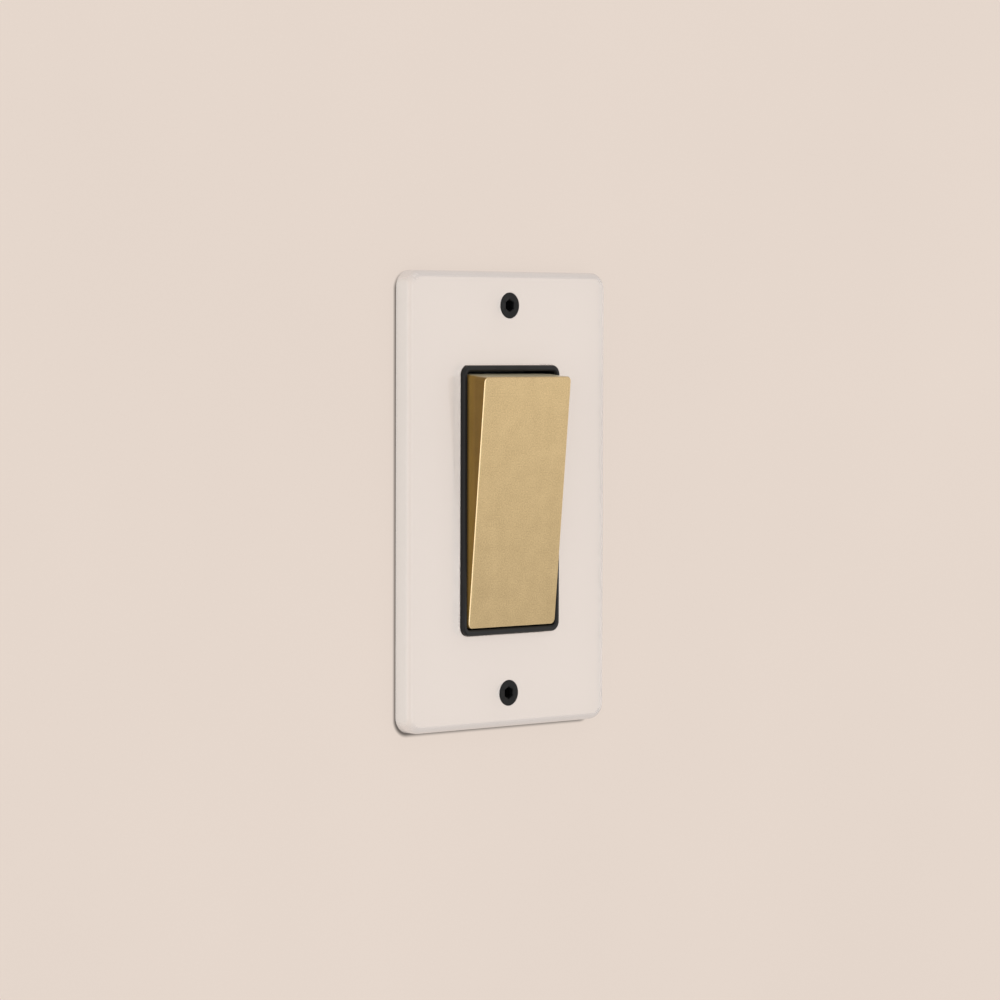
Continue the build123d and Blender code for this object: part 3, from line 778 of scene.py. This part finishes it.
def coil_tree():
    """Geometry Nodes: a compression spring with open turns and one closed turn at each end."""
    tree, given, out = new_tree("GeometryNodeTree", "return_spring", [
        ("Turns", "Float", 7.0),
        ("Radius", "Float", 0.003),
        ("Wire", "Float", 0.0003),
        ("Closed Share", "Float", 0.15),
        ("Closed Rise", "Float", 0.0006),
        ("Open Rise", "Float", 0.009),
        ("Foot", "Vector"),
        ("Lay", "Rotation"),
        ("Material", "Material"),
    ], ("Spring", "Geometry"))
    closed, rise = given["Closed Share"], given["Closed Rise"]
    rest = calc(tree, "SUBTRACT", 1.0, closed)
    along = put(tree, "GeometryNodeSplineParameter")
    first = ramp(tree, along, (0.0, closed), (0.0, rise))
    middle = ramp(tree, along, (closed, rest), (0.0, given["Open Rise"]))
    last = ramp(tree, along, (rest, 1.0), (0.0, rise))
    lift = calc(tree, "ADD", calc(tree, "ADD", first, middle), last)
    path = put(tree, "GeometryNodeSetPosition", {
        "Geometry": spiral(tree, 40, given["Turns"], given["Radius"], 0.0),
        "Offset": upward(tree, lift),
    })
    wound = put(tree, "GeometryNodeSetShadeSmooth", {"Geometry": sweep(tree, path, 12, given["Wire"])})
    placed = put(tree, "GeometryNodeTransform", {
        "Geometry": wound,
        "Translation": given["Foot"],
        "Rotation": given["Lay"],
    })
    feed(tree, out, {"Spring": coat(tree, placed, given["Material"])})
    return tree


def nodes_piece(name, mesh, tree, values):
    """Run a Geometry Nodes tree on a mesh and keep the result as a plain mesh."""
    piece = link_piece(name, mesh)
    run = piece.modifiers.new("nodes", "NODES")
    run.node_group = tree
    for item in tree.interface.items_tree:
        if item.item_type == "SOCKET" and item.in_out == "INPUT" and item.name in values:
            run[item.identifier] = values[item.name]
    made = worked_mesh(piece)
    if not made.polygons:
        raise RuntimeError(name + " came out empty")
    if made.materials[0] is None:
        made.materials.pop(index=0)
    piece.modifiers.remove(run)
    piece.data = made
    made.name = name
    bpy.data.meshes.remove(mesh)
    return piece


def thread_on(sizes, shank_d, run, foot, finer=1.0):
    """A thread for a row of screws: on a shank, over a run, up from a foot, with a share of the pitch."""
    return {
        "Thread Radius": shank_d / 2 - sizes.thread_depth,
        "Thread Depth": sizes.thread_depth,
        "Thread Turns": run / (sizes.thread_pitch * finer),
        "Thread Length": run,
        "Thread Foot": foot,
    }


def screw_row(name, mesh, finish, thread, start, lay, step=(0.0, 0.0, 0.0), count=1, turn_each=0.0):
    """Set out threaded screws in a row."""
    tree = bpy.data.node_groups.get("screw_row") or screw_row_tree()
    return nodes_piece(name, mesh, tree, {
        "Count": count,
        "Start": start,
        "Step": step,
        "Lay": lay,
        "Turn Each": turn_each,
        "Material": finish,
        **thread,
    })


class SWITCH_OT_face_plate(bpy.types.Operator):
    """Finish the clear face plate"""

    bl_idname = "rocker_switch.face_plate"
    bl_label = "Face plate"

    def execute(self, context):
        set_finish(clear_acrylic(context.scene.rocker_switch.colours), "face_plate")
        return {"FINISHED"}


class SWITCH_OT_plate_screws(bpy.types.Operator):
    """Make the two flush socket screws of the plate"""

    bl_idname = "rocker_switch.plate_screws"
    bl_label = "Plate screws"

    def execute(self, context):
        sizes = context.scene.rocker_switch.sizes
        colours = context.scene.rocker_switch.colours
        steel = plain_finish(
            "black_steel", colours.screw_black, (0.42, 0.56), (5200.0, 0.000012, 0.3),
            sockets={"Specular IOR Level": 0.17},
        )
        socket_painted_shade = plain_finish(
            "socket_shade_black", colours.socket, (0.7, 0.85), (5200.0, 0.000012, 0.3),
            sockets={"Specular IOR Level": 0.02},
        )
        low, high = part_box("plate_screws")
        pitch = (high.z - low.z) - sizes.head_d
        plain_tip = 0.0004
        piece = screw_row(
            "socket_screws", socket_screw_mesh(sizes), steel,
            thread_on(sizes, sizes.shank_d, sizes.plate_thread, plain_tip - sizes.shank_length),
            start=(0.0, low.y, -pitch / 2), lay=(pi / 2, 0.0, 0.0), step=(0.0, 0.0, pitch), count=2,
        )
        # The floors of the sockets are darker than the heads: painted shade in the recess
        piece.data.materials.append(socket_painted_shade)
        shallow, deep = low.y + 0.0002, low.y + 1.6 * sizes.hex_depth
        for face in piece.data.polygons:
            off_axis = hypot(face.center.x, abs(face.center.z) - pitch / 2)
            if off_axis < sizes.hex_across / 2 and shallow < face.center.y < deep:
                face.material_index = len(piece.data.materials) - 1
        stand_in(piece, "plate_screws")
        return {"FINISHED"}


class SWITCH_OT_bezel(bpy.types.Operator):
    """Finish the black bezel and the pin across it"""

    bl_idname = "rocker_switch.bezel"
    bl_label = "Bezel and pin"

    def execute(self, context):
        settings = context.scene.rocker_switch
        plain_finish(
            "bezel_black", settings.colours.bezel, (0.42, 0.54), (6400.0, 0.00001, 0.4),
            sockets={"Specular IOR Level": 0.26},
        )
        eased("bezel_frame", "bezel_black", settings.sizes.edge)
        steel = plain_finish(
            "bright_steel", settings.colours.steel, (0.2, 0.32), (3600.0, 0.000006, 0.1), metallic=1.0,
            stretch=(0.05, 1.0, 1.0),
        )
        set_finish(steel, "pivot_pin")
        return {"FINISHED"}


class SWITCH_OT_rocker(bpy.types.Operator):
    """Finish the brass rocker and the moulded carrier inside it"""

    bl_idname = "rocker_switch.rocker"
    bl_label = "Rocker"

    def execute(self, context):
        colours = context.scene.rocker_switch.colours
        set_finish(satin_brass(colours), "rocker_cap")
        moulding = plain_finish("moulded_black", colours.cover, (0.45, 0.6), (5200.0, 0.000012, 0.5))
        set_finish(moulding, "rocker_carrier")
        return {"FINISHED"}


class SWITCH_OT_strap(bpy.types.Operator):
    """Finish the zinc-plated mounting strap and the wire clamps"""

    bl_idname = "rocker_switch.strap"
    bl_label = "Mounting strap"

    def execute(self, context):
        settings = context.scene.rocker_switch
        zinc = plain_finish(
            "zinc_steel", settings.colours.zinc, (0.26, 0.46), (2600.0, 0.00001, 0.25), metallic=1.0,
            darker=0.78, stretch=(1.0, 1.0, 0.12), cloud=140.0,
        )
        eased("mounting_strap", "zinc_steel", settings.sizes.edge)
        set_finish(zinc, "wire_clamps")
        return {"FINISHED"}


class SWITCH_OT_housing(bpy.types.Operator):
    """Finish the moulded housing, its rear cover and the stop pads"""

    bl_idname = "rocker_switch.housing"
    bl_label = "Housing"

    def execute(self, context):
        colours = context.scene.rocker_switch.colours
        edge = context.scene.rocker_switch.sizes.edge
        plain_finish("moulded_grey", colours.housing, (0.46, 0.62), (4200.0, 0.00002, 0.5))
        plain_finish("pad_rubber", colours.rubber, (0.7, 0.85), (3000.0, 0.00002, 0.4))
        eased("switch_housing", "moulded_grey", edge)
        eased("rear_cover", "moulded_black", edge)
        eased("stop_pads", "pad_rubber", edge)
        return {"FINISHED"}


class SWITCH_OT_binding_screws(bpy.types.Operator):
    """Make the terminal screws, the earth screw and the long screws of the cover"""

    bl_idname = "rocker_switch.binding_screws"
    bl_label = "Binding screws"

    def execute(self, context):
        sizes = context.scene.rocker_switch.sizes
        colours = context.scene.rocker_switch.colours
        brass = plain_finish(
            "terminal_brass", colours.terminal, (0.22, 0.36), (3000.0, 0.000008, 0.2), metallic=1.0,
        )
        green = plain_finish(
            "earth_green", colours.earth, (0.28, 0.42), (3000.0, 0.000008, 0.2), sockets={"Coat Weight": 0.35},
        )
        self.set_binding(sizes, brass, green)
        self.set_long(sizes)
        return {"FINISHED"}

    def set_binding(self, sizes, brass, green):
        """A brass screw on each side of the housing, and the green one in the strap's tab."""
        plain_tip, plain_run = 0.0004, 0.0007
        thread = thread_on(
            sizes, sizes.binding_d, sizes.binding_length - plain_run, plain_tip - sizes.binding_length,
        )
        head = (sizes.binding_head_d, sizes.binding_head_t, sizes.binding_d, sizes.binding_length)
        low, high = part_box("terminal_screws")
        middle = (low + high) / 2
        reach = (high.x - low.x) / 2 - sizes.binding_head_t
        piece = screw_row(
            "binding_screws", slotted_screw_mesh("binding_screw", sizes, *head), brass, thread,
            start=(reach, middle.y, middle.z), lay=(0.0, pi / 2, 0.0), step=(-2 * reach, 0.0, 0.0), count=2,
            turn_each=pi,
        )
        stand_in(piece, "terminal_screws")
        low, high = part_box("earth_screw")
        middle = (low + high) / 2
        piece = screw_row(
            "earthing_screw", slotted_screw_mesh("earth_blank", sizes, *head), green, thread,
            start=(low.x + sizes.binding_head_t, middle.y, middle.z), lay=(0.0, -pi / 2, 0.0),
        )
        stand_in(piece, "earth_screw")

    def set_long(self, sizes):
        """Two long screws with a finer thread, from the cover into the strap."""
        low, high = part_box("assembly_screws")
        shank = high.y - low.y - sizes.joint_head_t
        pitch = (high.z - low.z) - sizes.joint_head_d
        plain_tip = 0.0003
        blank = slotted_screw_mesh(
            "long_screw", sizes, sizes.joint_head_d, sizes.joint_head_t, sizes.joint_d, shank,
        )
        piece = screw_row(
            "cover_screws", blank, finishes["zinc_steel"],
            thread_on(sizes, sizes.joint_d, sizes.joint_thread, plain_tip - shank, finer=0.6),
            start=(0.0, high.y - sizes.joint_head_t, -pitch / 2), lay=(-pi / 2, 0.0, 0.0),
            step=(0.0, 0.0, pitch), count=2,
        )
        stand_in(piece, "assembly_screws")


class SWITCH_OT_contacts(bpy.types.Operator):
    """Finish the plunger, the contact bridge, its tips and clip, and the terminals"""

    bl_idname = "rocker_switch.contacts"
    bl_label = "Contacts"

    def execute(self, context):
        colours = context.scene.rocker_switch.colours
        nylon = plain_finish(
            "natural_nylon", colours.nylon, (0.36, 0.5), (2600.0, 0.00001, 0.3), darker=0.94,
            sockets={"Subsurface Weight": 0.15, "Subsurface Radius": (0.0008, 0.0006, 0.0004)},
        )
        copper = plain_finish(
            "contact_copper", colours.copper, (0.24, 0.4), (3000.0, 0.000008, 0.1), metallic=1.0,
            stretch=(0.1, 1.0, 1.0),
        )
        silver = plain_finish(
            "contact_silver", colours.silver, (0.18, 0.34), (3000.0, 0.000008, 0.2), metallic=1.0,
        )
        set_finish(nylon, "contact_plunger")
        set_finish(copper, "contact_bridge")
        set_finish(silver, "moving_contacts", "fixed_contacts")
        set_finish(finishes["bright_steel"], "bridge_clip")
        set_finish(finishes["terminal_brass"], "supply_terminal", "switched_terminal")
        return {"FINISHED"}


class SWITCH_OT_return_spring(bpy.types.Operator):
    """Wind the return spring to the length of its solid; the real spring shortens as the plunger goes in"""

    bl_idname = "rocker_switch.return_spring"
    bl_label = "Return spring"

    def execute(self, context):
        sizes = context.scene.rocker_switch.sizes
        low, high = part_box("return_spring")
        wire_r = sizes.spring_wire
        height = high.y - low.y - 2 * wire_r
        turns = sizes.spring_turns + 2
        # A closed turn rises by a little more than the wire's thickness
        closed_rise = 2.05 * wire_r
        piece = nodes_piece("wound_spring", bpy.data.meshes.new("spring_seed"), coil_tree(), {
            "Turns": float(turns),
            "Radius": sizes.spring_radius,
            "Wire": wire_r,
            "Closed Share": 1.0 / turns,
            "Closed Rise": closed_rise,
            "Open Rise": height - 2 * closed_rise,
            "Foot": (0.0, high.y - wire_r, (low.z + high.z) / 2),
            "Lay": (pi / 2, 0.0, 0.0),
            "Material": finishes["bright_steel"],
        })
        stand_in(piece, "return_spring")
        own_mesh(piece)
        return {"FINISHED"}


def soft_lamp(name, place, size, bright):
    """A rectangular soft lamp of a surface brightness, aimed at the middle of the plate."""
    data = bpy.data.lights.new(name, "AREA")
    data.shape = "RECTANGLE"
    data.size, data.size_y = size
    data.energy = bright * pi * size[0] * size[1]
    lamp = bpy.data.objects.new(name, data)
    lamp.location = place
    lamp.rotation_euler = (-Vector(place)).to_track_quat("-Z", "Y").to_euler()
    lamp.visible_camera = False
    lamp.visible_transmission = False
    bpy.context.scene.collection.objects.link(lamp)


class SWITCH_OT_stage(bpy.types.Operator):
    """Set up the plain wall, the soft lamps and the camera"""

    bl_idname = "rocker_switch.stage"
    bl_label = "Stage"

    def execute(self, context):
        scene = context.scene
        stage = scene.rocker_switch.stage
        self.hang_wall(stage, scene.rocker_switch.sizes.plate_corner)
        self.light_room(scene, stage)
        self.set_camera(scene, stage)
        scene.view_settings.view_transform = "Standard"
        return {"FINISHED"}

    def hang_wall(self, stage, corner):
        """A sheet of wall that the plate lies close on, open behind the bezel."""
        # Half sizes of the opening and of the sheet, and how far the sheet presses into the plate's back
        open_x, open_z = 0.0157, 0.0324
        reach = 0.75
        contact = 0.00004
        across = (-reach, -open_x, open_x, reach)
        up = (-reach, -open_z, open_z, reach)
        points = [(x, -contact, z) for z in up for x in across]
        faces = []
        for row in range(3):
            for column in range(3):
                if (row, column) != (1, 1):
                    first = row * 4 + column
                    faces.append((first, first + 1, first + 5, first + 4))
        mesh = bpy.data.meshes.new("wall")
        mesh.from_pydata(points, [], faces)
        mesh.materials.append(plain_wall(stage, corner))
        link_piece("wall", mesh)

    def light_room(self, scene, stage):
        """Even room light, a side panel, a front strip, fills on the left and behind, a key from above."""
        world = bpy.data.worlds.new("room")
        scene.world = world
        world.use_nodes = True
        tree = world.node_tree
        room = feed(tree, tree.nodes["Background"], {"Color": rgba(stage.sky_tint), "Strength": stage.sky})
        pale = put(tree, "ShaderNodeBackground", {"Color": rgba(stage.surround), "Strength": 1.0})
        feed(tree, tree.nodes["World Output"], {"Surface": mix_shaders(tree, seen_rays(tree), room, pale)})
        soft_lamp("side_panel", (1.0, -1.0, -0.12), (1.3, 1.3), stage.panel)
        soft_lamp("front_strip", (0.12, -1.5, 0.05), (0.5, 1.2), stage.strip)
        soft_lamp("left_fill", (-1.2, -0.45, 0.05), (1.0, 1.0), stage.left)
        soft_lamp("key", (0.3, -0.85, 1.15), (0.6, 0.6), stage.key)
        soft_lamp("rear_fill", (-0.7, 1.0, 0.7), (0.9, 0.9), stage.rear)

    def set_camera(self, scene, stage):
        """The view from the left, a little above the switch."""
        turn, stoop, roll = stage.turn, stage.stoop, stage.roll
        ahead = Vector((sin(turn) * cos(stoop), cos(turn) * cos(stoop), -sin(stoop)))
        level = Vector((cos(turn), -sin(turn), 0.0))
        upright = level.cross(ahead)
        right = level * cos(roll) + upright * sin(roll)
        up = upright * cos(roll) - level * sin(roll)
        data = bpy.data.cameras.new("camera")
        data.sensor_width = 36.0
        data.lens = stage.lens
        data.clip_start = 0.01
        data.clip_end = 20.0
        camera = bpy.data.objects.new("camera", data)
        place = right * stage.aside - up * stage.below - ahead * stage.stand_off
        axes = Matrix((right, up, -ahead)).transposed().to_4x4()
        camera.matrix_world = Matrix.Translation(place) @ axes
        scene.collection.objects.link(camera)
        scene.camera = camera


class SWITCH_PT_panel(bpy.types.Panel):
    """Sidebar panel that lists the pieces of the switch"""

    bl_idname = "SWITCH_PT_panel"
    bl_label = "Rocker switch"
    bl_space_type = "VIEW_3D"
    bl_region_type = "UI"
    bl_category = "Switch"

    def draw(self, context):
        settings = context.scene.rocker_switch
        for step in STEPS:
            self.layout.operator(step.bl_idname)
        for group in (settings.sizes, settings.colours, settings.stage):
            box = self.layout.box()
            for key in group.bl_rna.properties.keys():
                if key not in {"rna_type", "name"}:
                    box.prop(group, key)


STEPS = (
    SWITCH_OT_face_plate,
    SWITCH_OT_plate_screws,
    SWITCH_OT_bezel,
    SWITCH_OT_rocker,
    SWITCH_OT_strap,
    SWITCH_OT_housing,
    SWITCH_OT_binding_screws,
    SWITCH_OT_contacts,
    SWITCH_OT_return_spring,
    SWITCH_OT_stage,
)
CLASSES = (SwitchSizes, SwitchColours, StageSettings, SwitchSettings, *STEPS, SWITCH_PT_panel)


def register():
    """Register the settings, the pieces and the panel."""
    for kind in CLASSES:
        bpy.utils.register_class(kind)
    bpy.types.Scene.rocker_switch = PointerProperty(type=SwitchSettings)


def unregister():
    """Take the settings, the pieces and the panel away again."""
    del bpy.types.Scene.rocker_switch
    for kind in reversed(CLASSES):
        bpy.utils.unregister_class(kind)


def main():
    """Make every piece in order."""
    register()
    make = bpy.ops.rocker_switch
    make.face_plate()
    make.plate_screws()
    make.bezel()
    make.rocker()
    make.strap()
    make.housing()
    make.binding_screws()
    make.contacts()
    make.return_spring()
    make.stage()
    bpy.context.view_layer.update()


if __name__ == "__main__":
    main()
